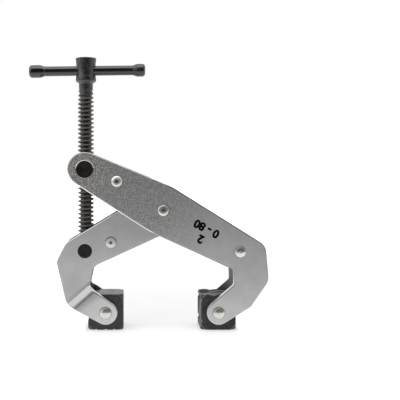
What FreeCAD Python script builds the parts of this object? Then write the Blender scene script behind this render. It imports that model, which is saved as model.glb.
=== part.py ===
import FreeCAD, Part
import math
import os

from FreeCAD import Vector

# Cantilever clamp, in millimetres. X runs to the right, Y away from the viewer, Z up.
# Everything is drawn about the pivot of the two arms, and stood on its jaws at the end.
# Each arm is a pair of plates. The screw spreads the arms' left ends, which closes the jaws.

# Linkage: the pivot is at 0, 0 and both trunnions lie the same distance from it
screw_offset = 46.0        # from the pivot back to the screw's axis
trunnion_rise = 24.1       # nut above the pivot, and thrust trunnion below it
left_jaw_x = -33.7
right_jaw_x = 32.5
jaw_drop = 60.0            # jaw rivets below the pivot

# Sheets, from the inside out
sheet = 3.2
lower_gap = 13.0           # between the two plates of the lower arm
arm_clearance = 0.1        # between the lower arm's plates and the upper arm's
jaw_clearance = 0.2        # between a jaw and its ears, each side

# Outlines of the arms: place and rounding of each corner
nut_end_radius = 10.1
ear_radius = 6.9
pivot_end_radius = 13.2
upper_bend = (-8.3, -12.2, 60.0)
upper_notch_top = (41.3, -34.9, 3.0)
upper_notch_foot = (41.3, -43.4, 2.0)
upper_heel = (51.4, -56.5, 7.0)
upper_back = (61.9, -41.4, 7.5)
upper_shoulder = (60.1, -20.5, 7.5)
upper_crest = (5.2, 13.9, 30.0)
lower_crown = (-57.4, -19.3, 9.2)
lower_back = (-62.8, -30.2, 5.0)
lower_heel = (-57.1, -55.2, 7.0)
lower_notch_foot = (-43.3, -45.1, 2.0)
lower_notch_top = (-40.8, -33.1, 6.0)
die_roll = 0.75            # rounding of the edges of the plates' outer skins
skin_slope = 0.3           # a face that looks out more than this belongs to the skin

# Joggle that sets the lower arm's ears out
joggle_turn = -48.2        # degrees, of the line square to the fold
joggle_start = 3.6         # from the pivot, along that line
joggle_run = 4.1
joggle_radius = 1.2
joggle_limit = -38.0       # the fold is formed only below this height

# Rivets: a shoulder or a tube between the plates, tenons through them, domed heads
tenon_radius = 2.4
head_radius = 3.3
head_height = 1.4
dimple_radius = 0.75
dimple_depth = 0.5
jaw_tenon_radius = 2.5
jaw_head_radius = 3.5
jaw_head_height = 1.7
jaw_shoulder_radius = 3.5
pivot_radius = 4.75
pivot_spacer_radius = 7.5
upper_spacer_radius = 3.3
lower_spacer_radius = 4.0
rivet_clearance = 0.05
pivot_clearance = 0.05
upper_left_stay = (-27.2, 17.0)
upper_right_stay = (45.1, -24.2)
lower_stay = (-30.7, -19.1)

# Trunnions
trunnion_radius = 8.0
trunnion_flat = 7.2        # from the axis to the flats that the screw enters
trunnion_side_clearance = 0.1
nut_journal_radius = 4.9
nut_journal_recess = 0.4
nut_countersink = 0.6
thrust_journal_radius = 4.2
journal_clearance = 0.05
edge_break = 0.4

# Screw's forged head, with its heights from the bar's axis
bar_height = 107.4         # above the thrust trunnion's axis
head_rise = 7.75
head_top_radius = 6.35
head_round = 1.1
waist_radius = 5.6
waist_half = 1.4
collar_drop = 4.3
collar_height = 1.8
collar_bevel = 1.6
collar_radius = 6.2
collar_round = 0.6

# Screw's shank, thread and foot, from the collar down
shank_radius = 4.25
shank_length = 4.4
thread_runout = 7.2        # over which the thread fades into the shank
thread_radius = 4.7625
thread_clearance = 0.05
screw_journal_radius = 3.175
screw_bore_clearance = 0.05
thrust_clearance = 0.05
groove_radius = 2.4
ring_radius = 5.2
ring_thickness = 1.0
ring_opening = 2.2
screw_tail = 1.4           # below the retaining ring
tail_chamfer = 0.6

# Tommy bar, with places along it from the screw's axis
bar_tilt = 0.7             # degrees that it leans in its hole, right end up
bar_radius = 2.95
bar_clearance = 0.1
bar_left = -34.1
bar_right = 35.7
left_knob_length = 9.3
right_knob_length = 7.5
knob_radius = 3.85
knob_neck = 2.6
knob_round = 1.9
knob_shoulder_round = 0.8
knob_spigot_radius = 2.0
knob_spigot_length = 5.0

# Jaws: square blocks, the right one turned by a quarter
jaw_size = 21.0
jaw_cone_radius = 12.6     # circle left on the jaw's ends by the turned corners
jaw_edge = 0.5
left_jaw_grooves = ((-5.7, 2.7, 0.4), (0.1, 2.7, 0.4), (4.9, 2.7, 0.4))    # place, width, depth
right_jaw_grooves = ((-7.4, 3.2, 0.9), (5.3, 3.0, 1.1))
cross_width = 6.0
cross_depth = 0.55
cross_offset = 2.7
cross_slot_width = 2.6
groove_over = 0.1          # that a groove's cutter stands out of the face

lower_inner = lower_gap / 2
lower_outer = lower_inner + sheet
upper_inner = lower_outer + arm_clearance
upper_outer = upper_inner + sheet
jaw_half_depth = upper_inner - jaw_clearance
nut_at = (-screw_offset, trunnion_rise)
thrust_at = (-screw_offset, -trunnion_rise)
left_jaw_at = (left_jaw_x, -jaw_drop)
right_jaw_at = (right_jaw_x, -jaw_drop)
through = 100.0            # longer than anything that is cut through

along_x = Vector(1, 0, 0)
along_y = Vector(0, 1, 0)
along_z = Vector(0, 0, 1)


def flat(point, y=0.0):
    """A place on the clamp's face, at depth y."""
    return Vector(point[0], y, point[1])


def away(point, angle, length):
    return (point[0] + length * math.cos(angle), point[1] + length * math.sin(angle))


def heading(start, end):
    return math.atan2(end[1] - start[1], end[0] - start[0])


def touch_from(point, centre, radius):
    """Where a line from a point meets a circle that it keeps on its left."""
    span = math.dist(point, centre)
    angle = heading(point, centre) - math.asin(radius / span)
    return away(point, angle, math.sqrt(span ** 2 - radius ** 2))


def touch_towards(point, centre, radius):
    """Where a line to a point leaves a circle that it keeps on its left."""
    span = math.dist(point, centre)
    angle = heading(point, centre) + math.asin(radius / span)
    return away(point, angle, math.sqrt(span ** 2 - radius ** 2))


def round_end(centre, radius):
    return {"centre": centre, "radius": radius}


def corner(values):
    return {"point": (values[0], values[1]), "radius": values[2]}


def corner_arc(before, here, after, radius):
    """The two ends and the middle of the arc that rounds a corner."""
    come, go = heading(before, here), heading(here, after)
    turn = (go - come + math.pi) % (2 * math.pi) - math.pi
    reach = radius * math.tan(abs(turn) / 2)
    start, end = away(here, come + math.pi, reach), away(here, go, reach)
    inward = (come + math.pi + go) / 2
    if math.cos(inward - come - math.pi) < 0:
        inward += math.pi
    middle = away(here, inward, radius / math.cos(turn / 2) - radius)
    return start, middle, end


def end_arc(before, item, after):
    centre, radius = item["centre"], item["radius"]
    start = touch_from(before, centre, radius)
    end = touch_towards(after, centre, radius)
    first = heading(centre, start)
    sweep = (heading(centre, end) - first) % (2 * math.pi)
    return start, away(centre, first + sweep / 2, radius), end


def outline(items, depth=flat):
    """A closed wire, anticlockwise on the face, through rounded corners and round ends."""
    arcs = []
    for i, item in enumerate(items):
        before, after = items[i - 1], items[(i + 1) % len(items)]
        if "centre" in item:
            arcs.append(end_arc(before["point"], item, after["point"]))
            continue
        here = item["point"]
        come, go = before.get("point"), after.get("point")
        if come is None:
            come = touch_towards(here, before["centre"], before["radius"])
        if go is None:
            go = touch_from(here, after["centre"], after["radius"])
        arcs.append(corner_arc(come, here, go, item["radius"]) if item["radius"] else (here, here, here))
    edges = []
    for i, (start, middle, end) in enumerate(arcs):
        if math.dist(start, end) > 1e-6:
            edges.append(Part.Arc(depth(start), depth(middle), depth(end)).toShape())
        following = arcs[(i + 1) % len(arcs)][0]
        if math.dist(end, following) > 1e-6:
            edges.append(Part.LineSegment(depth(end), depth(following)).toShape())
    return Part.Wire(Part.__sortEdges__(edges))


def slab(items, low, high):
    """An outline's solid between two depths."""
    body = Part.Face(outline(items)).extrude(along_y * (high - low))
    body.translate(along_y * low)
    return body


def rod(point, radius, low, high):
    """A cylinder along Y."""
    return Part.makeCylinder(radius, high - low, flat(point, low), along_y)


def turned(section, foot, axis):
    """A solid of revolution; each corner of its half section is a place, a radius and a rounding."""
    across = along_x if axis == along_z else along_z
    wire = outline([corner(values) for values in section],
                   lambda point: foot + axis * point[0] + across * point[1])
    return Part.Face(wire).revolve(foot, axis, 360)


def mirrored(shape):
    """The same piece on the far side, in its own place."""
    return shape.mirror(Vector(0, 0, 0), along_y)


def rolled(plate):
    """A near-side plate with the edges of its outer skin rounded by the press."""
    found = {}
    for face in plate.Faces:
        first, last, low, high = face.ParameterRange
        if face.normalAt((first + last) / 2, (low + high) / 2).y > -skin_slope:
            continue
        for edge in face.Edges:
            found.setdefault(edge.hashCode(), []).append(edge)
    return plate.makeFillet(die_roll, [same[0] for same in found.values() if len(same) == 1])


def upper_plate():
    items = [
        round_end(nut_at, nut_end_radius),
        corner(upper_bend),
        corner(upper_notch_top),
        corner(upper_notch_foot),
        round_end(right_jaw_at, ear_radius),
        corner(upper_heel),
        corner(upper_back),
        corner(upper_shoulder),
        corner(upper_crest),
    ]
    plate = rolled(slab(items, -upper_outer, -upper_inner))
    hole = nut_journal_radius + journal_clearance
    holes = [rod(nut_at, hole, -through, 0)]
    holes.append(Part.makeCone(
        hole + nut_countersink, hole, nut_countersink, flat(nut_at, -upper_outer), along_y))
    for point in ((0.0, 0.0), upper_left_stay, upper_right_stay):
        holes.append(rod(point, tenon_radius + rivet_clearance, -through, 0))
    holes.append(rod(right_jaw_at, jaw_tenon_radius + rivet_clearance, -through, 0))
    return plate.cut(holes)


def joggled_sheet():
    """A wide sheet that steps out to the ears, square to the joggle's line, and is flat above it."""
    rise = upper_inner - lower_inner
    shift = sheet * math.tan(math.atan2(rise, joggle_run) / 2)
    start, end = joggle_start, joggle_start + joggle_run
    tight, wide = joggle_radius, joggle_radius + sheet
    section = [
        (-through, -lower_inner, 0),
        (-through, -lower_outer, 0),
        (start, -lower_outer, tight),
        (end, -upper_outer, wide),
        (through, -upper_outer, 0),
        (through, -upper_inner, 0),
        (end + shift, -upper_inner, tight),
        (start + shift, -lower_inner, wide),
    ]
    wire = outline([corner(values) for values in section],
                   lambda point: Vector(point[0], point[1], -through))
    folded = Part.Face(wire).extrude(along_z * 2 * through)
    folded.rotate(Vector(0, 0, 0), along_y, -joggle_turn)
    size = 2 * through
    below = Part.makeBox(size, through, through, Vector(-through, -through, joggle_limit - through))
    above = Part.makeBox(size, sheet, size, Vector(-through, -lower_outer, joggle_limit))
    return folded.common(below).fuse(above)


def lower_plate():
    items = [
        round_end((0.0, 0.0), pivot_end_radius),
        corner(lower_crown),
        corner(lower_back),
        corner(lower_heel),
        round_end(left_jaw_at, ear_radius),
        corner(lower_notch_foot),
        corner(lower_notch_top),
    ]
    plate = rolled(slab(items, -through, 0).common(joggled_sheet()).removeSplitter())
    holes = [
        rod((0.0, 0.0), pivot_radius + pivot_clearance, -through, 0),
        rod(thrust_at, thrust_journal_radius + journal_clearance, -through, 0),
        rod(lower_stay, tenon_radius + rivet_clearance, -through, 0),
        rod(left_jaw_at, jaw_tenon_radius + rivet_clearance, -through, 0),
    ]
    return plate.cut(holes)


def dome(point, radius, height, face):
    """A rivet's head on the near side: a cap of a ball that rises from the face."""
    ball = (radius ** 2 + height ** 2) / (2 * height)
    cap = Part.makeSphere(ball, flat(point, face - height + ball))
    return cap.common(rod(point, radius + 1.0, face - height - 1.0, face))


def rivet(point, shoulder, tenon, head, height, inner, outer, dimple=True):
    """A shoulder between the plates, a tenon through both, and a head on each end."""
    near = dome(point, head, height, -outer)
    if dimple:
        tip = flat(point, -outer - height + dimple_depth)
        near = near.cut(Part.makeCone(0, dimple_radius, dimple_depth, tip, along_y * -1))
    parts = [rod(point, tenon, -outer, outer), near, mirrored(near)]
    if shoulder > tenon:
        parts.append(rod(point, shoulder, -inner, inner))
    return parts[0].multiFuse(parts[1:]).removeSplitter()


def stay_rivet(point, inner, outer):
    return rivet(point, tenon_radius, tenon_radius, head_radius, head_height, inner, outer)


def jaw_rivet(point):
    return rivet(point, jaw_shoulder_radius, jaw_tenon_radius, jaw_head_radius, jaw_head_height,
                 upper_inner, upper_outer, dimple=False)


def tube(point, radius, bore, half_length):
    return rod(point, radius, -half_length, half_length).cut(rod(point, bore, -through, through))


def trunnion(point, half_width, journal, journal_end, bore):
    """A cross bar with two flats for the screw, and a journal at each end."""
    body = rod(point, trunnion_radius, -half_width, half_width)
    body = body.makeChamfer(edge_break, [e for e in body.Edges if isinstance(e.Curve, Part.Circle)])
    ends = rod(point, journal, -journal_end, journal_end)
    ends = ends.makeChamfer(edge_break, [e for e in ends.Edges if isinstance(e.Curve, Part.Circle)])
    wide = 2 * trunnion_radius
    core = Part.makeBox(2 * wide, 2 * wide, 2 * trunnion_flat, Vector(-wide, -wide, -trunnion_flat))
    core.translate(flat(point))
    hole = Part.makeCylinder(bore, through, flat(point, 0) - along_z * through / 2, along_z)
    return body.common(core).fuse(ends).cut(hole).removeSplitter()


def nut_trunnion():
    return trunnion(nut_at, upper_inner - trunnion_side_clearance, nut_journal_radius,
                    upper_outer - nut_journal_recess, thread_radius + thread_clearance)


def thrust_trunnion():
    return trunnion(thrust_at, lower_inner - trunnion_side_clearance, thrust_journal_radius,
                    lower_outer, screw_journal_radius + screw_bore_clearance)


def ring_top():
    """The retaining ring's upper face, below the thrust trunnion's axis."""
    return -trunnion_flat - thrust_clearance


def screw():
    shoulder = trunnion_flat + thrust_clearance
    groove_low = ring_top() - ring_thickness
    tail = groove_low - screw_tail
    collar_top = bar_height - collar_drop
    collar_low = collar_top - collar_height
    collar_foot = collar_low - collar_bevel
    thread_top = collar_foot - shank_length
    section = [
        (tail, 0, 0),
        (tail, screw_journal_radius - tail_chamfer, 0),
        (tail + tail_chamfer, screw_journal_radius, 0),
        (groove_low, screw_journal_radius, 0),
        (groove_low, groove_radius, 0),
        (ring_top(), groove_radius, 0),
        (ring_top(), screw_journal_radius, 0),
        (shoulder, screw_journal_radius, 0),
        (shoulder, thread_radius, 0),
        (thread_top - thread_runout, thread_radius, 0),
        (thread_top, shank_radius, 0),
        (collar_foot, shank_radius, 0),
        (collar_low, collar_radius, collar_round),
        (collar_top, collar_radius, collar_round),
        (bar_height - waist_half, waist_radius, 0),
        (bar_height + waist_half, waist_radius, 0),
        (bar_height + head_rise, head_top_radius, head_round),
        (bar_height + head_rise, 0, 0),
    ]
    foot = flat(thrust_at)
    hole = Part.makeCylinder(bar_radius + bar_clearance, through,
                             foot + along_z * bar_height - along_x * through / 2, along_x)
    return turned(section, foot, along_z).cut(hole)


def retaining_ring():
    """An open spring ring in the groove at the screw's foot."""
    foot = flat(thrust_at) + along_z * (ring_top() - ring_thickness)
    body = Part.makeCylinder(ring_radius, ring_thickness, foot, along_z)
    slot = Part.makeBox(through, ring_opening, ring_thickness, foot - along_y * ring_opening / 2)
    return body.cut([Part.makeCylinder(groove_radius, ring_thickness, foot, along_z), slot])


def leaning(section):
    """A turned piece of the bar, leaning as the bar does."""
    centre = flat(thrust_at) + along_z * bar_height
    body = turned(section, centre, along_x)
    body.rotate(centre, along_y, -bar_tilt)
    return body


def handle_bar():
    """The bar with the knob that is forged on its left end, and a spigot for the other."""
    left_neck = bar_left + left_knob_length
    right_neck = bar_right - right_knob_length
    return leaning([
        (bar_left, 0, 0),
        (bar_left, knob_radius, knob_round),
        (left_neck - knob_neck, knob_radius, knob_shoulder_round),
        (left_neck, bar_radius, 0),
        (right_neck, bar_radius, 0),
        (right_neck, knob_spigot_radius, 0),
        (right_neck + knob_spigot_length, knob_spigot_radius, 0),
        (right_neck + knob_spigot_length, 0, 0),
    ])


def handle_end_knob():
    neck = bar_right - right_knob_length
    return leaning([
        (neck, knob_spigot_radius, 0),
        (neck, bar_radius, 0),
        (neck + knob_neck, knob_radius, knob_shoulder_round),
        (bar_right, knob_radius, knob_round),
        (bar_right, 0, 0),
        (neck + knob_spigot_length, 0, 0),
        (neck + knob_spigot_length, knob_spigot_radius, 0),
    ])


def groove(width, depth, along):
    """A shallow vee, with its open side at Z = 0, that runs along Y or X."""
    points = [Vector(-width / 2, 0, groove_over), Vector(0, 0, -depth), Vector(width / 2, 0, groove_over)]
    body = Part.Face(Part.makePolygon(points + [points[0]])).extrude(along_y * through)
    body.translate(along_y * -through / 2)
    if along == "x":
        body.rotate(Vector(0, 0, 0), along_z, 90)
    return body


def jaw_block(grooves):
    """A square block on its pivot: grooves below, a cross of vees on the left, smooth elsewhere."""
    half = jaw_size / 2
    body = Part.makeBox(jaw_size, 2 * jaw_half_depth, jaw_size, Vector(-half, -jaw_half_depth, -half))
    body = body.makeChamfer(jaw_edge, [e for e in body.Edges if abs(e.Length - 2 * jaw_half_depth) < 1e-6])
    reach = jaw_cone_radius + jaw_half_depth
    cone = Part.makeCone(jaw_cone_radius, reach, jaw_half_depth, Vector(0, -jaw_half_depth, 0), along_y)
    body = body.common(cone.fuse(mirrored(cone)))
    cuts = [rod((0.0, 0.0), jaw_shoulder_radius + pivot_clearance, -through, through)]
    for place, width, depth in grooves:
        vee = groove(width, depth, "y")
        vee.rotate(Vector(0, 0, 0), along_y, 180)
        vee.translate(Vector(place, 0, -half))
        cuts.append(vee)
    for along, width, offset in (("y", cross_width, cross_offset), ("x", cross_slot_width, 0.0)):
        vee = groove(width, cross_depth, along)
        vee.translate(Vector(-offset, 0, half))
        vee.rotate(Vector(0, 0, 0), along_y, -90)
        cuts.append(vee)
    return body.cut(cuts)


def jaw(point, grooves, quarter_turns):
    body = jaw_block(grooves)
    body.rotate(Vector(0, 0, 0), along_y, 90 * quarter_turns)
    body.translate(flat(point))
    return body


def pieces():
    """Every piece of the clamp, drawn about the pivot."""
    made = {}
    made["upper_arm_front_plate"] = upper_plate()
    made["upper_arm_rear_plate"] = mirrored(made["upper_arm_front_plate"])
    made["lower_arm_front_plate"] = lower_plate()
    made["lower_arm_rear_plate"] = mirrored(made["lower_arm_front_plate"])
    made["pivot_pin"] = rivet((0.0, 0.0), pivot_radius, tenon_radius, head_radius, head_height,
                              upper_inner, upper_outer)
    made["pivot_spacer"] = tube((0.0, 0.0), pivot_spacer_radius, pivot_radius + pivot_clearance, lower_inner)
    bore = tenon_radius + rivet_clearance
    for side, point in (("left", upper_left_stay), ("right", upper_right_stay)):
        made["upper_stay_rivet_" + side] = stay_rivet(point, upper_inner, upper_outer)
        made["upper_stay_spacer_" + side] = tube(point, upper_spacer_radius, bore, upper_inner)
    made["lower_stay_rivet"] = stay_rivet(lower_stay, lower_inner, lower_outer)
    made["lower_stay_spacer"] = tube(lower_stay, lower_spacer_radius, bore, lower_inner)
    made["left_jaw_rivet"] = jaw_rivet(left_jaw_at)
    made["right_jaw_rivet"] = jaw_rivet(right_jaw_at)
    made["left_jaw"] = jaw(left_jaw_at, left_jaw_grooves, 0)
    made["right_jaw"] = jaw(right_jaw_at, right_jaw_grooves, 1)
    made["nut_trunnion"] = nut_trunnion()
    made["thrust_trunnion"] = thrust_trunnion()
    made["clamp_screw"] = screw()
    made["screw_retaining_ring"] = retaining_ring()
    made["handle_bar"] = handle_bar()
    made["handle_end_knob"] = handle_end_knob()
    return made


def standing(made):
    """The same pieces, moved so that the clamp stands on Z = 0 about the middle of its box."""
    box = Part.makeCompound(list(made.values())).optimalBoundingBox()
    shift = Vector(-(box.XMin + box.XMax) / 2, 0, -box.ZMin)
    for shape in made.values():
        shape.translate(shift)
    return made


os.makedirs("parts", exist_ok=True)
for name, shape in standing(pieces()).items():
    shape.exportStep("parts/" + name + ".step")
    print(name, len(shape.Solids), round(shape.Volume, 1), shape.isValid())
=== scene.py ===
import bpy
import math
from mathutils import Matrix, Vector


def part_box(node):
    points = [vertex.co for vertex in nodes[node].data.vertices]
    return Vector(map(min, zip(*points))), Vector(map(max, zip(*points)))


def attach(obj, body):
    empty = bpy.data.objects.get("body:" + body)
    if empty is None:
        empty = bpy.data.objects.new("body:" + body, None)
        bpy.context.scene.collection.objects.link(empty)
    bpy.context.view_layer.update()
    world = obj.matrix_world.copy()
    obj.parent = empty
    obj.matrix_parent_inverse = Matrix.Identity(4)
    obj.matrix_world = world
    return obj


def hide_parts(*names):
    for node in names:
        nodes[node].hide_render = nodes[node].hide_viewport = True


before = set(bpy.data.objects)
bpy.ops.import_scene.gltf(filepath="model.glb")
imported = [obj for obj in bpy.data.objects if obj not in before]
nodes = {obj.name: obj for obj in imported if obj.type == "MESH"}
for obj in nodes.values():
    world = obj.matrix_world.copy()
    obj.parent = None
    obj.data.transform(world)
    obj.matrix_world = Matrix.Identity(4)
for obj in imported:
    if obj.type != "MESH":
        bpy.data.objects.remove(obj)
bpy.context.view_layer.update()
print("frame loaded:", len(nodes), "pieces")


def middleOf(node):
    low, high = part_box(node)
    return (low + high) / 2


screwFoot = middleOf("thrust_trunnion")  # on the screw's axis, heights of the screw are from here
nutCentre = middleOf("nut_trunnion")
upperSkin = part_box("upper_arm_front_plate")[0].y  # outer face of the upper arm, towards the viewer


# hand tools

handTools = {"start": 0.001, "merge": 2e-6, "tiny": 1e-6, "skinLayers": 3}


def clearSelection():
    if bpy.context.object and bpy.context.object.mode != "OBJECT":
        bpy.ops.object.mode_set(mode="OBJECT")
    bpy.ops.object.select_all(action="DESELECT")


def takeUp(piece):
    clearSelection()
    piece.select_set(True)
    bpy.context.view_layer.objects.active = piece


def openEdit(piece):
    takeUp(piece)
    bpy.ops.object.mode_set(mode="EDIT")
    bpy.ops.mesh.select_mode(type="VERT")
    bpy.ops.mesh.select_all(action="SELECT")


def closeEdit():
    bpy.ops.object.mode_set(mode="OBJECT")


def drawProfile(name, corners):  # a line of vertices, extruded from one corner to the next
    clearSelection()
    bpy.ops.mesh.primitive_plane_add(size=handTools["start"])
    piece = bpy.context.object
    piece.name = name
    openEdit(piece)
    bpy.ops.mesh.merge(type="CENTER")
    bpy.ops.transform.translate(value=corners[0])
    for before, after in zip(corners, corners[1:]):
        bpy.ops.mesh.extrude_region_move(TRANSFORM_OT_translate={"value": after - before})
    closeEdit()
    return piece


def latheRound(piece, steps, axis=(0, 0, 1)):
    openEdit(piece)
    bpy.ops.mesh.spin(steps=steps, angle=2 * math.pi, center=(0, 0, 0), axis=axis)
    closeEdit()
    weld(piece)


def weld(piece):
    openEdit(piece)
    bpy.ops.mesh.remove_doubles(threshold=handTools["merge"])
    bpy.ops.mesh.normals_make_consistent(inside=False)
    closeEdit()


def finishModifiers(piece):
    takeUp(piece)
    for name in [modifier.name for modifier in piece.modifiers]:
        bpy.ops.object.modifier_apply(modifier=name)


def combine(piece, other, operation):
    cut = piece.modifiers.new(operation.lower(), "BOOLEAN")
    cut.operation = operation
    cut.solver = "EXACT"
    cut.object = other
    finishModifiers(piece)
    bpy.data.objects.remove(other)


def place(piece, where):
    openEdit(piece)
    bpy.ops.transform.translate(value=where)
    closeEdit()


def smoothBy(piece, degrees):
    takeUp(piece)
    bpy.ops.object.shade_smooth_by_angle(angle=math.radians(degrees))


def roughen(piece, size, depth):  # an uneven skin, only ever inwards
    skin = bpy.data.textures.new(piece.name + "Skin", "CLOUDS")
    skin.noise_scale = size
    skin.noise_depth = handTools["skinLayers"]
    rough = piece.modifiers.new("uneven", "DISPLACE")
    rough.texture = skin
    rough.texture_coords = "LOCAL"
    rough.mid_level = 1.0
    rough.strength = depth
    finishModifiers(piece)


def handOver(piece, body, node):
    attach(piece, body)
    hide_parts(node)
    print(piece.name, "made:", len(piece.data.polygons), "faces")


# node helpers for the finishes, which are all in object coordinates, in metres

class Finish:
    def __init__(self, name, centre=(0.0, 0.0, 0.0)):
        self.material = bpy.data.materials.new(name)
        self.material.use_nodes = True
        self.tree = self.material.node_tree
        self.shader = self.tree.nodes["Principled BSDF"]
        coordinates = self.add("TexCoord")
        mapping = self.add("Mapping")
        mapping.inputs["Location"].default_value = [-value for value in centre]
        self.join(coordinates.outputs["Object"], mapping.inputs["Vector"])
        self.place = mapping.outputs["Vector"]

    def add(self, kind):
        return self.tree.nodes.new("ShaderNode" + kind)

    def join(self, source, target):
        if isinstance(source, (int, float)):
            target.default_value = source
        else:
            self.tree.links.new(source, target)

    def noise(self, size, detail=2.0, roughness=0.5, squeeze=(1.0, 1.0, 1.0)):  # spots of this size
        mapping = self.add("Mapping")
        mapping.inputs["Scale"].default_value = squeeze
        self.join(self.place, mapping.inputs["Vector"])
        node = self.add("TexNoise")
        node.inputs["Scale"].default_value = 0.5 / size
        node.inputs["Detail"].default_value = detail
        node.inputs["Roughness"].default_value = roughness
        self.join(mapping.outputs["Vector"], node.inputs["Vector"])
        return node.outputs["Fac"]

    def math(self, operation, first, second=0.0):
        node = self.add("Math")
        node.operation = operation
        self.join(first, node.inputs[0])
        self.join(second, node.inputs[1])
        return node.outputs[0]

    def times(self, *factors):
        product = factors[0]
        for factor in factors[1:]:
            product = self.math("MULTIPLY", product, factor)
        return product

    def spread(self, value, low, high, toLow=0.0, toHigh=1.0):
        node = self.add("MapRange")
        node.interpolation_type = "SMOOTHSTEP"
        self.join(value, node.inputs["Value"])
        limits = {"From Min": low, "From Max": high, "To Min": toLow, "To Max": toHigh}
        for socket, amount in limits.items():
            self.join(amount, node.inputs[socket])
        return node.outputs["Result"]

    def fade(self, value, near, far, share=1.0):  # the share up to near, and nothing from far on
        return self.spread(value, near, far, share, 0.0)

    def mix(self, factor, first, second, blend="MIX"):
        node = self.add("Mix")
        node.data_type = "RGBA"
        node.blend_type = blend
        self.join(factor, node.inputs["Factor"])
        for socket, colour in (("A", first), ("B", second)):
            target = [item for item in node.inputs if item.name == socket and item.type == "RGBA"][0]
            if isinstance(colour, tuple):
                target.default_value = colour + (1.0,)
            else:
                self.join(colour, target)
        return [item for item in node.outputs if item.type == "RGBA"][0]

    def slope(self, axis):  # how far the surface faces along one axis, -1 to 1
        normal = self.add("NewGeometry")
        parts = self.add("SeparateXYZ")
        self.join(normal.outputs["Normal"], parts.inputs["Vector"])
        return parts.outputs[axis]

    def facing(self, axis):
        return self.math("ABSOLUTE", self.slope(axis))

    def edges(self):  # more than a half where the shape is convex
        return self.add("NewGeometry").outputs["Pointiness"]

    def axis(self, name):  # the place along one axis
        parts = self.add("SeparateXYZ")
        self.join(self.place, parts.inputs["Vector"])
        return parts.outputs[name]

    def along(self, direction, point):  # the way from a point in one direction
        start = self.add("VectorMath")
        start.operation = "SUBTRACT"
        self.join(self.place, start.inputs[0])
        start.inputs[1].default_value = point
        dot = self.add("VectorMath")
        dot.operation = "DOT_PRODUCT"
        self.join(start.outputs["Vector"], dot.inputs[0])
        dot.inputs[1].default_value = direction
        return dot.outputs["Value"]

    def distance(self, squeeze=(1.0, 1.0, 1.0), centre=(0.0, 0.0, 0.0)):
        mapping = self.add("Mapping")
        mapping.inputs["Scale"].default_value = squeeze
        mapping.inputs["Location"].default_value = [-value * scale for value, scale in zip(centre, squeeze)]
        self.join(self.place, mapping.inputs["Vector"])
        length = self.add("VectorMath")
        length.operation = "LENGTH"
        self.join(mapping.outputs["Vector"], length.inputs[0])
        return length.outputs["Value"]

    def rings(self, pitch):  # turning marks round the y axis
        return self.math("SINE", self.times(self.distance((1.0, 0.0, 1.0)), 2 * math.pi / pitch))

    def bump(self, height, strength, depth, under=None):
        node = self.add("Bump")
        self.join(strength, node.inputs["Strength"])
        node.inputs["Distance"].default_value = depth
        self.join(height, node.inputs["Height"])
        if under is not None:
            self.join(under, node.inputs["Normal"])
        return node.outputs["Normal"]

    def set(self, socket, value):
        if isinstance(value, tuple):
            self.shader.inputs[socket].default_value = value + (1.0,)
        else:
            self.join(value, self.shader.inputs[socket])


def dress(piece, material):
    piece.data.materials.clear()
    piece.data.materials.append(material)


# zinc-plated sheet of the arms

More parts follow.
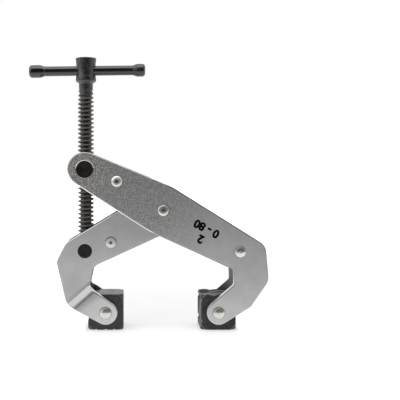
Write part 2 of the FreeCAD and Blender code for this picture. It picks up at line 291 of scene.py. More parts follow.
plateLook = {
    "tone": {
        "upper": ((0.59, 0.59, 0.59), (0.64, 0.64, 0.64)),
        "lower": ((0.66, 0.66, 0.66), (0.72, 0.72, 0.72)),
    },
    "cloudSize": 0.004,
    "cloudDetail": 3.0,
    "cloudSpread": (0.3, 0.7),
    "metal": 0.68,
    "roughness": 0.32,
    "gloss": (-0.03, 0.05),  # change of the roughness from crystal to crystal
    "glossSpread": (0.2, 0.8),
    "bump": 0.06,
    # the plating's crystals, which show on the upper arm; a reach is near, far and share
    "grainSize": 0.00041,
    "grainRoughness": 0.6,
    "clumpSize": 0.0013,
    "clumpDetail": 1.0,
    "clumpShare": 0.20,
    "speckSpread": (0.41, 0.59),
    "grainDark": (0.37, 0.37, 0.375),
    "grainLight": (0.66, 0.65, 0.64),
    "grainRear": 0.5,
    "grainCentre": (-0.012, -0.013, 0.083),
    "grainReach": (0.020, 0.062),
    "grainBump": 0.45,
    "grainDepth": 0.00005,
    "coarseDark": (0.28, 0.28, 0.28),
    "coarseLight": (1.0, 0.99, 0.96),
    "coarseReach": (0.008, 0.022, 0.50),
    "warm": (1.0, 0.94, 0.88),
    "warmReach": (0.0055, 0.0140, 0.8),
    # painted shade, tinted brown, in the lower side of the nut's hole
    "holeShade": (0.10, 0.065, 0.045),
    "holeShadeReach": (0.0056, 0.0058, 0.60),
    "holeShadeHeights": (-0.002, 0.003),  # from the nut's axis
    # painted shade near the bends, and in bands along the joggle
    "formed": {"upper": (0.0600, 0.0, 0.0250), "lower": (-0.0440, 0.0, 0.0190)},
    "formedReach": {"upper": (0.005, 0.034, 0.09), "lower": (0.003, 0.024, 0.20)},
    "joggle": ((0.61, 0.0, -0.79), (-0.0409, 0.0, 0.0198)),  # across its band, and a point on it
    "bandReach": ((-0.0040, -0.0024), (0.0026, 0.0036), 0.26),
    "bandLineReach": ((-0.0032, -0.0022), (-0.0018, -0.0010), 0.36),
    "troughReach": ((0.0014, 0.0030), (0.0044, 0.0110), 0.42),
    "joggleBelow": (0.030, 0.036),
    # a thin dark seam round each rivet's head, partly a dark joint and partly painted shade, least below
    # it; heights in shares of the head
    "seamShade": (0.09, 0.085, 0.07),
    "seamShadeReach": (-0.0001, 0.0004, 0.75),
    "seamShadeHeights": (-0.9, 0.2, 0.15),
    # edges: how far a face looks along y there, and the places of their painted shade and painted
    # highlights
    "edge": (0.66, 0.66, 0.66),
    "faceReach": (0.80, 0.97),
    "sideReach": (0.03, 0.20),
    "rolledReach": (0.93, 0.999),
    "edgeShade": (0.34, 0.34, 0.34),
    "edgeShadeAbove": (0.026, 0.034),
    "upperEdgeShade": (0.10, 0.10, 0.10),
    "upperEdgeShadeAbove": (0.050, 0.060),
    "edgeHighlight": (0.98, 0.98, 0.98),
    "edgeHighlightAbove": (0.0835, 0.0865),
    "edgeHighlightLeft": (0.000, 0.008),
    "edgeHighlightShare": 0.45,
    "lipShadow": (0.12, 0.12, 0.12),
    "lipReach": (0.70, 0.80),
    "lipLineReach": (0.985, 0.999),
    "lipBelow": (0.027, 0.032),
    "lipAbove": (0.012, 0.017),
    "lipLeft": (-0.0275, -0.0235),
    "lipHighlightShare": 0.75,
    "shearedSize": 0.00025,
    "shearedSqueeze": (1.0, 0.04, 1.0),
    "shearedBump": 0.5,
    "shearedDepth": 0.00004,
    # painted shade on the inner sides of the rear plates, darker low down
    "inside": {"upper": (0.50, 0.49, 0.48), "lower": (0.09, 0.085, 0.08)},
    "insideReach": (-0.97, -0.80, 0.85),
    "insideShadeLow": (0.09, 0.085, 0.08),
    "insideAbove": (0.016, 0.032),
}
plateRivets = {
    "upper": ("upper_stay_rivet_left", "upper_stay_rivet_right", "right_jaw_rivet"),
    "lower": ("lower_stay_rivet", "left_jaw_rivet"),
}
pivotHead = 0.0033


class PlateFinish(Finish):  # its places are all from the grain's centre
    def __init__(self, name, arm, rear):
        super().__init__(name, plateLook["grainCentre"])
        self.arm = arm
        self.rear = rear
        self.upper = arm == "upper"
        self.grain = self.noise(plateLook["grainSize"], roughness=plateLook["grainRoughness"])
        self.grainZone = self.fade(self.distance((1.0, 0.0, 1.0)), *plateLook["grainReach"])
        self.face = self.spread(self.facing("Y"), *plateLook["faceReach"])

    def shifted(self, point):
        return [value - start for value, start in zip(point, plateLook["grainCentre"])]

    def fromPoint(self, point):  # seen square to the plate
        return self.distance((1.0, 0.0, 1.0), self.shifted(point))

    def limits(self, name, axis):
        return [value - plateLook["grainCentre"]["XYZ".index(axis)] for value in plateLook[name]]

    def above(self, name):
        return self.spread(self.axis("Z"), *self.limits(name, "Z"))

    def below(self, name):
        return self.fade(self.axis("Z"), *self.limits(name, "Z"))

    def leftOf(self, name):
        return self.fade(self.axis("X"), *self.limits(name, "X"))

    def faces(self, axis, sign):
        return self.spread(self.times(self.slope(axis), sign), *plateLook["sideReach"])

    def sheetTone(self):
        cloud = self.noise(plateLook["cloudSize"], plateLook["cloudDetail"])
        dark, light = plateLook["tone"][self.arm]
        return self.mix(self.spread(cloud, *plateLook["cloudSpread"]), dark, light)

    def addGrain(self, colour):  # coarser and warmer round the nut
        share = plateLook["clumpShare"]
        clump = self.noise(plateLook["clumpSize"], plateLook["clumpDetail"])
        mottled = self.math("ADD", self.times(self.grain, 1.0 - share), self.times(clump, share))
        speck = self.spread(mottled, *plateLook["speckSpread"])
        strength = plateLook["grainRear"] if self.rear else 1.0
        rough = self.mix(speck, plateLook["grainDark"], plateLook["grainLight"])
        colour = self.mix(self.times(self.grainZone, strength), colour, rough)
        fromNut = self.fromPoint(nutCentre)
        near, far, share = plateLook["coarseReach"]
        coarse = self.mix(speck, plateLook["coarseDark"], plateLook["coarseLight"])
        colour = self.mix(self.fade(fromNut, near, far, share * strength), colour, coarse)
        return self.mix(self.fade(fromNut, *plateLook["warmReach"]), colour, plateLook["warm"], "MULTIPLY")

    def paintedBendShade(self):  # painted shade where the sheet was bent
        shadeShare = self.fade(self.fromPoint(plateLook["formed"][self.arm]), *plateLook["formedReach"][self.arm])
        if self.upper:
            return shadeShare
        direction, point = plateLook["joggle"]
        across = self.along(direction, self.shifted(point))
        # painted shade in bands along the joggle
        for name in ("bandReach", "bandLineReach", "troughReach"):
            (first, full), (fall, last), share = plateLook[name]
            strip = self.times(self.spread(across, first, full, 0.0, share), self.below("joggleBelow"),
                               self.fade(across, fall, last))
            shadeShare = self.math("MAXIMUM", shadeShare, strip)
        return shadeShare

    def addSeamShade(self, colour):
        near, far, share = plateLook["seamShadeReach"]
        low, high, least = plateLook["seamShadeHeights"]
        heads = [(node, (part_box(node)[1].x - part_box(node)[0].x) / 2) for node in plateRivets[self.arm]]
        if self.upper:
            heads.append(("pivot_pin", pivotHead))
        for node, head in heads:
            # a dark ring round the head, with painted shade that is least below it
            ring = self.fade(self.fromPoint(middleOf(node)), head + near, head + far, share)
            height = self.shifted(middleOf(node))[2]
            upward = self.spread(self.axis("Z"), height + head * low, height + head * high, least, 1.0)
            colour = self.mix(self.times(ring, upward), colour, plateLook["seamShade"])
        return colour

    def paintInnerShade(self, colour):
        # painted shade on the inner sides, darker low down
        inner = self.fade(self.slope("Y"), *plateLook["insideReach"])
        shadedInside = self.mix(self.above("insideAbove"), plateLook["insideShadeLow"], plateLook["inside"][self.arm])
        return self.mix(inner, colour, shadedInside)

    def paintEdgeLight(self, colour):  # painted light on the rolled edges: the upper arm's has a painted highlight at the screw's end and painted shade along the back, and the lower arm's has painted shade
        rolled = self.fade(self.facing("Y"), *plateLook["rolledReach"])
        # painted shade on the rolled edges above a height
        worn = self.times(rolled, self.above("edgeShadeAbove"))
        if not self.upper:
            worn = self.times(worn, self.math("SUBTRACT", 1.0, self.faces("Z", 1.0)))
            return self.mix(worn, colour, plateLook["edgeShade"])
        colour = self.mix(worn, colour, plateLook["edgeShade"])
        # darker painted shade on the upper arm's edges that face up, higher up
        upward = self.times(rolled, self.faces("Z", 1.0))
        colour = self.mix(self.times(upward, self.above("upperEdgeShadeAbove")), colour, plateLook["upperEdgeShade"])
        # painted highlight on the edges facing up at the top, and on those facing down at the left
        upward = self.times(upward, self.above("edgeHighlightAbove"), plateLook["edgeHighlightShare"])
        downward = self.times(rolled, self.faces("Z", -1.0), self.leftOf("edgeHighlightLeft"))
        return self.mix(self.math("MAXIMUM", upward, downward), colour, plateLook["edgeHighlight"])

    def paintLipLight(self, colour):  # a painted highlight on a cut edge with a painted shadow line beside it, down at the jaws
        if self.upper:
            lip = self.times(self.faces("X", -1.0), self.below("lipBelow"), self.above("lipAbove"))
        else:
            lip = self.times(self.faces("X", 1.0), self.faces("Z", 1.0), self.below("lipBelow"),
                             self.leftOf("lipLeft"))
        flat = self.facing("Y")
        line = self.times(lip, self.spread(flat, *plateLook["lipReach"]),
                          self.fade(flat, *plateLook["lipLineReach"]))
        # the painted shadow line beside the cut edge, then the painted highlight on the edge
        colour = self.mix(line, colour, plateLook["lipShadow"])
        lip = self.times(lip, self.fade(flat, *plateLook["lipReach"], plateLook["lipHighlightShare"]))
        return self.mix(lip, colour, plateLook["edgeHighlight"])

    def paintHoleShade(self, colour):  # painted shade, tinted brown, in the lower side of the nut's hole
        low, high = [self.shifted(nutCentre)[2] + height for height in plateLook["holeShadeHeights"]]
        holeShade = self.times(self.fade(self.axis("Z"), low, high),
                           self.fade(self.fromPoint(nutCentre), *plateLook["holeShadeReach"]))
        return self.mix(holeShade, colour, plateLook["holeShade"])

    def relief(self):
        strength = plateLook["bump"]
        if self.upper:
            strength = self.math("ADD", self.times(self.grainZone, plateLook["grainBump"]), strength)
        crystals = self.bump(self.grain, strength, plateLook["grainDepth"])
        sheared = self.noise(plateLook["shearedSize"], squeeze=plateLook["shearedSqueeze"])
        cut = self.times(self.math("SUBTRACT", 1.0, self.face), plateLook["shearedBump"])
        return self.bump(sheared, cut, plateLook["shearedDepth"], crystals)


def plateFinish(name, arm, rear):
    finish = PlateFinish(name, arm, rear)
    colour = finish.sheetTone()
    if finish.upper:
        colour = finish.addGrain(colour)
    colour = finish.mix(finish.face, plateLook["edge"], finish.addSeamShade(colour))
    # painted shade near the bends and along the joggle, mixed towards black
    colour = finish.mix(finish.paintedBendShade(), colour, (0.0, 0.0, 0.0))
    if rear:
        colour = finish.paintInnerShade(colour)
    colour = finish.paintLipLight(finish.paintEdgeLight(colour))
    if finish.upper:
        colour = finish.paintHoleShade(colour)
    finish.set("Base Color", colour)
    finish.set("Metallic", plateLook["metal"])
    gloss = [plateLook["roughness"] + change for change in plateLook["gloss"]]
    finish.set("Roughness", finish.spread(finish.grain, *plateLook["glossSpread"], *gloss))
    finish.set("Normal", finish.relief())
    return finish.material


for arm in ("upper", "lower"):
    for side in ("front", "rear"):
        node = arm + "_arm_" + side + "_plate"
        dress(nodes[node], plateFinish(node + "Zinc", arm, side == "rear"))
print("plates finished")


# turned spacers and the ring

turnedLook = {
    "light": (0.50, 0.50, 0.50),
    "dark": (0.38, 0.38, 0.38),
    "spread": (0.3, 0.7),
    "metal": 1.0,
    "roughness": 0.35,
    "cutSize": 0.0002,
    "cutSqueeze": (0.05, 1.0, 0.05),
    "bump": 0.3,
    "depth": 0.00003,
}


def turnedFinish():
    finish = Finish("turnedSteel")
    cut = finish.noise(turnedLook["cutSize"], squeeze=turnedLook["cutSqueeze"])
    share = finish.spread(cut, *turnedLook["spread"])
    finish.set("Base Color", finish.mix(share, turnedLook["dark"], turnedLook["light"]))
    finish.set("Metallic", turnedLook["metal"])
    finish.set("Roughness", turnedLook["roughness"])
    finish.set("Normal", finish.bump(cut, turnedLook["bump"], turnedLook["depth"]))
    return finish.material


turnedSteel = turnedFinish()
for node in ("pivot_spacer", "upper_stay_spacer_left", "upper_stay_spacer_right", "lower_stay_spacer",
             "screw_retaining_ring"):
    dress(nodes[node], turnedSteel)


# black oxide on the screw, the trunnions, the jaws and the bar

blackSkin = {  # what all of them share
    "patchNoise": (4.0, 0.6),  # detail and roughness of the noise
    "patchSpread": (0.35, 0.7),
    "pitSize": 0.0003,
    "pitNoise": (3.0, 0.6),
    "depth": 0.00008,
    "gloss": (-0.05, 0.08),
    "glossSpread": (0.2, 0.8),
    "rubbedSpread": (0.35, 0.60),
    "ridgeSize": 0.0034,
    "ridgeSqueeze": (0.30, 1.0, 0.30),
    "ridgeSpread": (0.53, 0.58),
    "sideReach": (0.3, 0.8),  # how far a face looks along y
    "ringBump": 0.9,
}
blackLook = {
    "screw": {
        "dark": (0.004, 0.0035, 0.0035), "light": (0.030, 0.026, 0.023), "patch": 0.0011,
        "roughness": 0.38, "bump": 0.7, "ior": 1.75,
        "worn": (0.12, 0.100, 0.087), "crests": (0.00435, 0.00468), "thread": (0.0965, 0.0985),
        "collarReflection": (0.080, 0.073, 0.070), "collarReflectionBand": ((0.0990, 0.0997), (0.1006, 0.1012)),
    },
    "trunnion": {
        "dark": (0.004, 0.003, 0.003), "light": (0.011, 0.008, 0.008), "patch": 0.0025,
        "roughness": 0.34, "bump": 0.25, "ior": 1.42, "rings": 0.0013,
    },
    "leftJaw": {
        "dark": (0.003, 0.003, 0.003), "light": (0.014, 0.013, 0.013), "patch": 0.0025,
        "roughness": 0.27, "bump": 0.7, "ior": 1.58,
        "bare": (0.13, 0.125, 0.12), "edges": (0.502, 0.520), "streaks": 0.15,
    },
    "rightJaw": {
        "dark": (0.008, 0.0075, 0.007), "light": (0.042, 0.039, 0.036), "patch": 0.0025,
        "roughness": 0.56, "bump": 0.9, "ior": 1.54, "sideIor": 1.22,
        "bare": (0.24, 0.235, 0.225), "edges": (0.504, 0.524), "streaks": 0.85,
    },
    "bar": {
        "dark": (0.004, 0.004, 0.004), "light": (0.009, 0.009, 0.009), "patch": 0.0025,
        "roughness": 0.18, "bump": 0.04, "ior": 1.8,
        "line": (0.05, 0.05, 0.05), "lineFromEnd": 0.0093, "lineReach": (0.00015, 0.00045),
    },
    "knob": {
        "dark": (0.008, 0.0075, 0.007), "light": (0.022, 0.020, 0.018), "patch": 0.0025,
        "roughness": 0.27, "bump": 0.25, "ior": 1.8,
    },
}


def threadWearAndCollarReflection(finish, colour, look):  # the crests are rubbed bare, and the collar's chamfer is grey, a painted reflection of the floor
    height = finish.axis("Z")
    crest = finish.spread(finish.distance((1.0, 1.0, 0.0)), *look["crests"])
    colour = finish.mix(finish.times(crest, finish.fade(height, *look["thread"])), colour, look["worn"])
    # painted reflection of the floor on the collar's chamfer
    foot, head = look["collarReflectionBand"]
    band = finish.times(finish.spread(height, *foot), finish.fade(height, *head))
    return finish.mix(band, colour, look["collarReflection"])


def wornJaw(finish, colour, look, patch):  # lips and corners are rubbed, and ridges along the sides
    lip = finish.times(finish.spread(finish.edges(), *look["edges"]),
                       finish.spread(patch, *blackSkin["rubbedSpread"]))
    colour = finish.mix(lip, colour, look["bare"])
    forged = finish.noise(blackSkin["ridgeSize"], squeeze=blackSkin["ridgeSqueeze"])
    ridge = finish.times(finish.spread(forged, *blackSkin["ridgeSpread"]), look["streaks"],
                         finish.fade(finish.facing("Y"), *blackSkin["sideReach"]))
    return finish.mix(ridge, colour, look["bare"])


def blackFinish(name, look, centre=(0.0, 0.0, 0.0)):
    finish = Finish(name, centre)
    patch = finish.noise(look["patch"], *blackSkin["patchNoise"])
    colour = finish.mix(finish.spread(patch, *blackSkin["patchSpread"]), look["dark"], look["light"])
    if "worn" in look:
        colour = threadWearAndCollarReflection(finish, colour, look)
    if "bare" in look:
        colour = wornJaw(finish, colour, look, patch)
    if "line" in look:  # a painted highlight: a grey line where the forged knob begins
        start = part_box("handle_bar")[0].x + look["lineFromEnd"]
        off = finish.math("ABSOLUTE", finish.math("SUBTRACT", finish.axis("X"), start))
        colour = finish.mix(finish.fade(off, *look["lineReach"]), colour, look["line"])
    finish.set("Base Color", colour)
    ior = look["ior"]
    if "sideIor" in look:
        ior = finish.spread(finish.facing("Y"), *blackSkin["sideReach"], look["sideIor"], ior)
    finish.set("IOR", ior)
    gloss = [look["roughness"] + change for change in blackSkin["gloss"]]
    finish.set("Roughness", finish.spread(patch, *blackSkin["glossSpread"], *gloss))
    pit = finish.noise(blackSkin["pitSize"], *blackSkin["pitNoise"])
    normal = finish.bump(pit, look["bump"], blackSkin["depth"])
    if "rings" in look:  # faced on a lathe
        normal = finish.bump(finish.rings(look["rings"]), blackSkin["ringBump"], blackSkin["depth"], normal)
    finish.set("Normal", normal)
    return finish.material


dress(nodes["nut_trunnion"], blackFinish("nutBlackOxide", blackLook["trunnion"], nutCentre))
dress(nodes["thrust_trunnion"], blackFinish("thrustBlackOxide", blackLook["trunnion"], screwFoot))
dress(nodes["handle_bar"], blackFinish("barGlossBlack", blackLook["bar"]))
dress(nodes["handle_end_knob"], blackFinish("knobBlack", blackLook["knob"]))
print("turned and black pieces finished")


# bright rivets: a dome at each end, and in some a cone pressed into the near one

rivetLook = {
    "dark": (0.74, 0.735, 0.67),
    "blotch": 0.0014,
    "blotchDetail": 3.0,
    "blotchSpread": (0.3, 0.6),
    "blotchBump": 0.06,
    "blotchDepth": 0.00008,
    "gloss": (-0.04, 0.08),
    "glossSpread": (0.2, 0.8),
    "hollowDark": (0.05, 0.05, 0.052),
    # painted shade on the upper rim of each head
    "rimShade": (0.10, 0.10, 0.09),
    "rimReach": (0.80, 0.95),  # shares of the head's radius
    "rimHeight": 0.6,
    "rimLeast": 0.25,
    "rings": 0.0004,
    "ringBump": 0.10,
    "ringDepth": 0.00001,
    "latheSteps": 64,
    "smooth": 30,
    "dishSteps": 6,
    "crownSteps": 10,
    "shoulderSteps": 5,
    "shoulderDrop": 0.85,
    "pitLine": ((0.0, 0.0), (0.25, 0.10), (0.75, 0.70), (0.92, 0.92)),  # shares of its radius and depth
}
jawRivet = {
    "height": 0.0017, "tenon": 0.0025, "crown": (0.93, 30), "shoulder": (0.0035, 0.0098),
    "light": (0.70, 0.71, 0.66), "metal": 0.85, "roughness": 0.24, "rimShade": 0.9,
}
rivetSizes = {  # crown: share of the head's radius, and its tilt there; dish and pit: radius and depth
    "upper_stay_rivet_left": {
        "body": "upper_arm", "height": 0.0014, "tenon": 0.0024, "crown": (0.94, 37),
        "dish": (0.0020, 0.00045), "pit": (0.0009, 0.0008), "hollowDark": (0.0004, 0.0017, 0.85),
        "light": (0.82, 0.82, 0.76), "metal": 0.75, "roughness": 0.30, "rimShade": 0.1,
    },
    "upper_stay_rivet_right": {
        "body": "upper_arm", "height": 0.0014, "tenon": 0.0024, "crown": (0.94, 28),
        "pit": (0.0005, 0.0001), "hollowDark": (0.0001, 0.0009, 0.35),
        "light": (0.80, 0.80, 0.74), "metal": 0.9, "roughness": 0.22, "rimShade": 0.8,
    },
    "pivot_pin": {
        "body": "upper_arm", "height": 0.0014, "tenon": 0.0024, "crown": (0.94, 28), "head": pivotHead,
        "shoulder": (0.00475, 0.0098),
        "dish": (0.0023, 0.00030), "pit": (0.0006, 0.0005), "hollowDark": (0.0004, 0.0020, 0.75),
        "light": (0.84, 0.84, 0.78), "metal": 0.85, "roughness": 0.24, "rimShade": 0.25,
    },
    "lower_stay_rivet": {
        "body": "lower_arm", "height": 0.0014, "tenon": 0.0024, "crown": (0.94, 20),
        "pit": (0.0008, 0.0005), "hollowDark": (0.0005, 0.0013, 0.97),
        "light": (0.80, 0.80, 0.74), "metal": 0.5, "roughness": 0.30, "rimShade": 0.95,
    },
    "left_jaw_rivet": dict(jawRivet, body="lower_arm"),
    "right_jaw_rivet": dict(jawRivet, body="upper_arm"),
}


def headRadius(node, size):
    low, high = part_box(node)
    return size.get("head", (high.x - low.x) / 2)


def rivetFinish(node, size):
    finish = Finish(node + "Finish", middleOf(node))
    blotch = finish.noise(rivetLook["blotch"], rivetLook["blotchDetail"])
    radius = finish.distance((1.0, 0.0, 1.0))
    colour = finish.mix(finish.spread(blotch, *rivetLook["blotchSpread"]), rivetLook["dark"], size["light"])
    if "hollowDark" in size:  # darker in the dish and the pit
        colour = finish.mix(finish.fade(radius, *size["hollowDark"]), colour, rivetLook["hollowDark"])
    head = headRadius(node, size)
    # painted shade on the upper rim of the head, least below
    height = head * rivetLook["rimHeight"]
    upper = finish.spread(finish.axis("Z"), 0.0, height, rivetLook["rimLeast"], size["rimShade"])
    near, far = rivetLook["rimReach"]
    rimShade = finish.times(upper, finish.spread(radius, head * near, head * far))
    finish.set("Base Color", finish.mix(rimShade, colour, rivetLook["rimShade"]))
    finish.set("Metallic", size["metal"])
    gloss = [size["roughness"] + change for change in rivetLook["gloss"]]
    finish.set("Roughness", finish.spread(blotch, *rivetLook["glossSpread"], *gloss))
    uneven = finish.bump(blotch, rivetLook["blotchBump"], rivetLook["blotchDepth"])
    rings = finish.rings(rivetLook["rings"])
    finish.set("Normal", finish.bump(rings, rivetLook["ringBump"], rivetLook["ringDepth"], uneven))
    return finish.material


def headSide(head, size, pressed):  # radius and depth below the head's top, from the middle out
    share, tilt = size["crown"]
    edge = head * share
    ball = edge / math.sin(math.radians(tilt))

    def crown(radius):
        return ball - math.sqrt(ball ** 2 - radius ** 2)

    points = []
    start = 0.0
    dished = pressed and "dish" in size
    if pressed and "pit" in size:
        start, deep = size["pit"]
        bottom = crown(start) + deep
        if dished:
            bottom += size["dish"][1]
        points = [(start * out, bottom - deep * up) for out, up in rivetLook["pitLine"]]
    if dished:
        wide, deep = size["dish"]
        steps = rivetLook["dishSteps"]
        for step in range(steps + 1):
            radius = start + (wide - start) * step / steps
            points.append((radius, crown(radius) + deep * (1 - (radius / wide) ** 2)))
        start = wide
    steps = rivetLook["crownSteps"]
    for step in range(1 if dished else 0, steps + 1):
        radius = start + (edge - start) * step / steps
        points.append((radius, crown(radius)))
    low, high = crown(edge), size["height"]
    steps = rivetLook["shoulderSteps"]
    first, last = math.radians(tilt), math.pi / 2
    for step in range(1, steps + 1):
        turn = first + (last - first) * step / steps
        out = (math.sin(turn) - math.sin(first)) / (math.sin(last) - math.sin(first))
        down = (math.cos(first) - math.cos(turn)) / (math.cos(first) - math.cos(last))
        points.append((edge + (head - edge) * out, low + (high - low) * rivetLook["shoulderDrop"] * down))
    points.append((head, high))
    return points


def makeRivet(node, size):
    low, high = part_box(node)
    reach = high.y
    head = headRadius(node, size)
    line = [(r, -reach + d) for r, d in headSide(head, size, True)]
    line += [(size["tenon"], -reach + size["height"])]
    if "shoulder" in size:
        wide, half = size["shoulder"]
        line += [(size["tenon"], -half), (wide, -half), (wide, half), (size["tenon"], half)]
    line += [(size["tenon"], reach - size["height"])]
    line += [(r, reach - d) for r, d in reversed(headSide(head, size, False))]
    rivet = drawProfile(node + "Peened", [Vector((r, y, 0.0)) for r, y in line])
    latheRound(rivet, rivetLook["latheSteps"], (0, 1, 0))
    middle = middleOf(node)
    place(rivet, (middle.x, 0.0, middle.z))
    smoothBy(rivet, rivetLook["smooth"])
    dress(rivet, rivetFinish(node, size))
    handOver(rivet, size["body"], node)


for node, size in rivetSizes.items():
    makeRivet(node, size)


# the jaws, forged blocks with soft edges

jawLook = {
    "grain": 0.00030,
    "soften": 4,
    "softness": 0.5,
    "skinSize": 0.0020,
    "skinDepth": 0.00010,
    "smooth": 60,
}


def makeJaw(node, look):
    clearSelection()
    jaw = nodes[node].copy()
    jaw.data = nodes[node].data.copy()
    jaw.name = node + "Forged"
    jaw.parent = None
    bpy.context.collection.objects.link(jaw)
    weld(jaw)
    grain = jaw.modifiers.new("grain", "REMESH")
    grain.mode = "VOXEL"
    grain.voxel_size = jawLook["grain"]
    soft = jaw.modifiers.new("soften", "SMOOTH")
    soft.factor = jawLook["softness"]
    soft.iterations = jawLook["soften"]
    finishModifiers(jaw)
    roughen(jaw, jawLook["skinSize"], jawLook["skinDepth"])
    smoothBy(jaw, jawLook["smooth"])
    dress(jaw, blackFinish(node + "Oxide", blackLook[look]))
    handOver(jaw, node, node)


makeJaw("left_jaw", "leftJaw")
makeJaw("right_jaw", "rightJaw")


# the screw, with its rolled thread and forged head; heights are above the thrust trunnion's axis

screwSizes = {
    "pitch": 0.00254,
    "crestRadius": 0.0047625,
    "rootRadius": 0.00330,
    "crestFlat": 0.00095,
    "rootFlat": 0.00080,
    "cornerBreak": 0.00014,
    "stepsPerTurn": 48,
    "leadTurns": 2,  # both are cut off again at the thread's ends
    "spareTurns": 3,
    "threadLow": 0.00725,
    "threadFull": 0.0881,
    "threadHigh": 0.0968,
    "shankRadius": 0.00425,
    "fadedDepth": 0.0002,
    "fadeBend": 1.2,
    "phase": 0.00106,
    "barHeight": 0.1074,
    "barHole": 0.00304,
    "barTilt": 0.7,
    "drillLength": 0.03,
    "drillSides": 48,
    "forgeSize": 0.0011,
    "forgeDepth": 0.00016,
    "coreSteps": 64,
    "headSteps": 96,
    "smooth": 32,
}
screwCore = [  # radius and height, from the foot up to the shank
    (0.0, -0.00965), (0.002575, -0.00965), (0.003175, -0.00905), (0.003175, -0.00825), (0.0024, -0.00825),
    (0.0024, -0.00725), (0.003175, -0.00725), (0.003175, 0.0074), (0.00310, 0.0078),
    (0.00310, 0.0885), (0.00330, 0.0915), (0.00370, 0.0945), (0.00405, 0.0960), (0.00423, 0.0973),
    (0.00423, 0.0999), (0.0, 0.0999),
]
forgedHead = [
    (0.0, 0.0992), (0.0041, 0.0992), (0.0043, 0.0997), (0.0053, 0.1004), (0.00600, 0.1010),
    (0.00620, 0.1014), (0.00622, 0.1022), (0.00612, 0.1031), (0.00590, 0.1041), (0.00570, 0.1052),
    (0.00562, 0.1066), (0.00563, 0.1082), (0.00572, 0.1096), (0.00592, 0.1114), (0.00612, 0.1130),
    (0.00626, 0.11415), (0.00630, 0.11465), (0.00615, 0.11495), (0.0056, 0.1151), (0.0, 0.11515),
]


def makeThread():
    s = screwSizes
    flank = (s["pitch"] - s["rootFlat"] - s["crestFlat"]) / 2
    root, crest, brk = s["rootRadius"], s["crestRadius"], s["cornerBreak"]
    up = s["rootFlat"] + flank
    corners = [
        (root, 0.0), (root, s["rootFlat"] - brk), (root + brk, s["rootFlat"]), (crest - brk, up),
        (crest, up + brk), (crest, up + s["crestFlat"] - brk), (crest - brk, up + s["crestFlat"]),
        (root + brk, s["pitch"] - brk), (root, s["pitch"]),
    ]
    thread = drawProfile("clampScrewThreaded", [Vector((r, 0.0, z)) for r, z in corners])
    run = thread.modifiers.new("helix", "SCREW")
    run.axis = "Z"
    run.screw_offset = s["pitch"]
    run.steps = run.render_steps = s["stepsPerTurn"]
    run.iterations = math.ceil((s["threadHigh"] - s["threadLow"]) / s["pitch"]) + s["spareTurns"]
    run.use_merge_vertices = True
    run.merge_threshold = handTools["tiny"]
    finishModifiers(thread)
    place(thread, (0.0, 0.0, s["threadLow"] - s["leadTurns"] * s["pitch"] + s["phase"]))
    weld(thread)
    for height, keepAbove in ((s["threadLow"], True), (s["threadHigh"], False)):
        openEdit(thread)
        bpy.ops.mesh.bisect(plane_co=(0, 0, height), plane_no=(0, 0, 1), use_fill=True,
                            clear_inner=keepAbove, clear_outer=not keepAbove)
        closeEdit()
    weld(thread)
    return thread


def fadeThread(thread):  # the thread runs out to the shank: its crests come in towards the top
    s = screwSizes
    faded = s["shankRadius"] - s["fadedDepth"]
    for vertex in thread.data.vertices:
        height = (vertex.co.z - s["threadFull"]) / (s["threadHigh"] - s["threadFull"])
        radius = math.hypot(vertex.co.x, vertex.co.y)
        if height > 0 and radius > handTools["tiny"]:
            share = min(height, 1.0)
            crest = s["crestRadius"] + (s["shankRadius"] - s["crestRadius"]) * share
            valley = s["rootRadius"] + (faded - s["rootRadius"]) * share ** s["fadeBend"]
            depth = (radius - s["rootRadius"]) / (s["crestRadius"] - s["rootRadius"])
            wanted = valley + (crest - valley) * depth
            vertex.co.x *= wanted / radius
            vertex.co.y *= wanted / radius


def makeScrew():
    s = screwSizes
    screw = makeThread()
    fadeThread(screw)
    core = drawProfile("screwCore", [Vector((r, 0.0, z)) for r, z in screwCore])
    latheRound(core, s["coreSteps"])
    combine(screw, core, "UNION")
    head = drawProfile("screwHead", [Vector((r, 0.0, z)) for r, z in forgedHead])
    latheRound(head, s["headSteps"])
    openEdit(head)
    bpy.ops.mesh.subdivide(number_cuts=1)
    closeEdit()
    roughen(head, s["forgeSize"], s["forgeDepth"])
    combine(screw, head, "UNION")
    clearSelection()
    bpy.ops.mesh.primitive_cylinder_add(radius=s["barHole"], depth=s["drillLength"],
                                        vertices=s["drillSides"], location=(0, 0, s["barHeight"]),
                                        rotation=(0, math.pi / 2 - math.radians(s["barTilt"]), 0))
    drill = bpy.context.object
    combine(screw, drill, "DIFFERENCE")
    place(screw, screwFoot)
    smoothBy(screw, s["smooth"])
    return screw


clampScrew = makeScrew()
dress(clampScrew, blackFinish("screwBlackOxide", blackLook["screw"], screwFoot))
handOver(clampScrew, "screw", "clamp_screw")


# plain numbers printed on the upper arm, upside down as the clamp stands

printSizes = {
    "lines": (("0 - 80", (0.04250, 0.05800)), ("2", (0.03350, 0.05490))),
    "size": 0.0066,
    "turn": 151.7,
    "bold": 0.00034,
    "thickness": 0.00002,
    "ink": (0.001, 0.001, 0.001),
    "worn": (0.010, 0.010, 0.010),
    "wornSize": 0.00025,
    "wornDetail": 3.0,
    "wornSpread": (0.62, 0.80),
    "roughness": 0.65,
    "ior": 1.18,
    "bump": 0.2,
    "depth": 0.00002,
}


def inkFinish():
    s = printSizes
    finish = Finish("printBlack")
    worn = finish.noise(s["wornSize"], s["wornDetail"])
    finish.set("Base Color", finish.mix(finish.spread(worn, *s["wornSpread"]), s["ink"], s["worn"]))
    finish.set("Roughness", s["roughness"])
    finish.set("IOR", s["ior"])
    finish.set("Normal", finish.bump(worn, s["bump"], s["depth"]))
    return finish.material


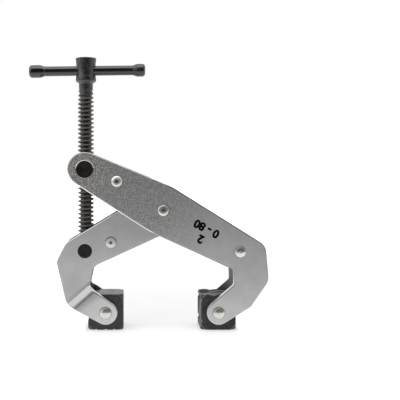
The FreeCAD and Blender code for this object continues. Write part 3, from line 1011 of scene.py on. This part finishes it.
def makePrint():
    s = printSizes
    ink = inkFinish()
    for number, (words, (x, z)) in enumerate(s["lines"]):
        clearSelection()
        bpy.ops.object.text_add(location=(x, upperSkin - s["thickness"] / 2, z),
                                rotation=(math.pi / 2, -math.radians(s["turn"]), 0))
        text = bpy.context.object
        text.name = "printNumbers" + str(number + 1)
        text.data.body = words
        text.data.size = s["size"]
        text.data.offset = s["bold"]
        text.data.extrude = s["thickness"] / 2
        bpy.ops.object.convert(target="MESH")
        bpy.ops.object.transform_apply(location=True, rotation=True, scale=True)
        weld(text)
        dress(text, ink)
        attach(text, "upper_arm")


makePrint()
print("numbers printed")


# floor, camera and light

floorLook = {
    "radius": 6.0,
    "sides": 96,
    "drop": 0.00005,
    "white": (0.78, 0.78, 0.78),
    "roughness": 0.6,
    "near": 0.425,
    "far": 1.0,
    "reach": (0.25, 1.6),
    "front": (-0.58, 0.0),
    "beside": 0.25,  # painted light, added on both sides of the jaws
    "besideReach": (0.0002, 0.0025),
    "between": 0.14,  # painted shadow, taken away between the jaws
    "betweenFront": (-0.008, 0.080),
    "betweenBack": (0.100, 0.200),
}


def shadeByJaws(finish):  # seen by the camera: a painted soft shadow between the jaws, and painted light that keeps the floor white beside them
    left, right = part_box("left_jaw")[0].x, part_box("right_jaw")[1].x
    beyond = finish.math("ABSOLUTE", finish.math("SUBTRACT", finish.axis("X"), (left + right) / 2))
    near, far = [(right - left) / 2 + value for value in floorLook["besideReach"]]
    beside = finish.spread(beyond, near, far)
    depth = finish.axis("Y")
    between = finish.times(finish.math("SUBTRACT", 1.0, beside),
                           finish.spread(depth, *floorLook["betweenFront"]),
                           finish.fade(depth, *floorLook["betweenBack"], floorLook["between"]))
    return finish.math("SUBTRACT", finish.times(beside, floorLook["beside"]), between)


def makeFloor():
    clearSelection()
    bpy.ops.mesh.primitive_circle_add(radius=floorLook["radius"], vertices=floorLook["sides"],
                                      fill_type="NGON", location=(0, 0, -floorLook["drop"]))
    floor = bpy.context.object
    floor.name = "studioFloor"
    finish = Finish("whiteFloor")
    path = finish.add("LightPath").outputs
    lit = finish.spread(finish.axis("Y"), *floorLook["front"])  # a gloss sees the table end in front
    unlit = finish.times(path["Is Glossy Ray"], finish.math("SUBTRACT", 1.0, lit))
    finish.set("Base Color", finish.mix(unlit, floorLook["white"], (0.0, 0.0, 0.0)))
    finish.set("Roughness", floorLook["roughness"])
    fromMiddle = finish.distance((1.0, 1.0, 0.0))
    level = finish.spread(fromMiddle, *floorLook["reach"], floorLook["near"], floorLook["far"])
    level = finish.math("ADD", level, finish.times(shadeByJaws(finish), path["Is Camera Ray"]))
    straight = finish.math("ADD", path["Is Camera Ray"], path["Is Transmission Ray"])
    shown = finish.math("ADD", straight, finish.times(path["Is Glossy Ray"], lit))
    finish.set("Emission Color", (1.0, 1.0, 1.0))
    finish.set("Emission Strength", finish.times(shown, level))
    dress(floor, finish.material)


studioLook = {
    "fill": 0.56,
    "darkSide": (0.16, -0.94, 0.25),
    "darkLevel": 0.05,
    "lightLevel": 0.90,
    "squash": (0.72, 1.0, 1.0),
    "edge": (0.64, 0.89),
}


def makeWorld():  # white to the camera, an even fill, and for the gloss a bright room with a dark side
    world = bpy.context.scene.world or bpy.data.worlds.new("studio")
    bpy.context.scene.world = world
    world.use_nodes = True
    tree = world.node_tree
    tree.nodes.clear()
    link = tree.links.new

    def add(kind):
        return tree.nodes.new("ShaderNode" + kind)

    def background(strength):
        node = add("Background")
        node.inputs["Color"].default_value = (1.0, 1.0, 1.0, 1.0)
        node.inputs["Strength"].default_value = strength
        return node

    fill, shown, mirrored = background(studioLook["fill"]), background(1.0), background(1.0)
    wide, straighten, towards = add("VectorMath"), add("VectorMath"), add("VectorMath")
    wide.operation, straighten.operation, towards.operation = "MULTIPLY", "NORMALIZE", "DOT_PRODUCT"
    wide.inputs[1].default_value = studioLook["squash"]
    towards.inputs[1].default_value = Vector(studioLook["darkSide"]).normalized()
    level = add("MapRange")
    level.interpolation_type = "SMOOTHSTEP"
    outer, inner = studioLook["edge"]
    limits = {"From Min": outer, "From Max": inner,
              "To Min": studioLook["lightLevel"], "To Max": studioLook["darkLevel"]}
    for socket, amount in limits.items():
        level.inputs[socket].default_value = amount
    path, straight = add("LightPath"), add("Math")
    first, second = add("MixShader"), add("MixShader")
    straight.operation = "ADD"
    link(add("TexCoord").outputs["Generated"], wide.inputs[0])
    link(wide.outputs["Vector"], straighten.inputs[0])
    link(straighten.outputs["Vector"], towards.inputs[0])
    link(towards.outputs["Value"], level.inputs["Value"])
    link(level.outputs["Result"], mirrored.inputs["Strength"])
    link(path.outputs["Is Glossy Ray"], first.inputs["Fac"])
    link(fill.outputs[0], first.inputs[1])
    link(mirrored.outputs[0], first.inputs[2])
    link(path.outputs["Is Camera Ray"], straight.inputs[0])
    link(path.outputs["Is Transmission Ray"], straight.inputs[1])
    link(straight.outputs[0], second.inputs["Fac"])
    link(first.outputs[0], second.inputs[1])
    link(shown.outputs[0], second.inputs[2])
    link(second.outputs[0], add("OutputWorld").inputs["Surface"])


lamps = {
    "softboxLeft": {"place": (-0.60, -0.20, 0.60), "size": 0.9, "power": 1.7},
    "softboxTop": {"place": (0.06, -0.18, 1.0), "size": 0.8, "power": 2.7},
}
lampTarget = Vector((0.0, 0.0, 0.07))


def makeLamps():
    for name, lamp in lamps.items():
        clearSelection()
        bpy.ops.object.light_add(type="AREA", location=lamp["place"])
        light = bpy.context.object
        light.name = name
        light.data.shape = "SQUARE"
        light.data.size = lamp["size"]
        light.data.energy = lamp["power"]
        light.rotation_euler = (lampTarget - light.location).to_track_quat("-Z", "Y").to_euler()


cameraSetup = {
    "place": (-0.0078863, -0.42866, 0.09601),
    "lens": 64.05,
    "sensor": 36.0,
    "shift": (0.1652, -0.0828),
    "clipStart": 0.01,
}


def makeCamera():
    clearSelection()
    bpy.ops.object.camera_add(location=cameraSetup["place"], rotation=(math.pi / 2, 0, 0))
    camera = bpy.context.object
    camera.data.lens = cameraSetup["lens"]
    camera.data.sensor_width = cameraSetup["sensor"]
    camera.data.shift_x, camera.data.shift_y = cameraSetup["shift"]
    camera.data.clip_start = cameraSetup["clipStart"]
    bpy.context.scene.camera = camera


makeFloor()
makeWorld()
makeLamps()
makeCamera()
bpy.context.scene.view_settings.view_transform = "Standard"
print("studio made")
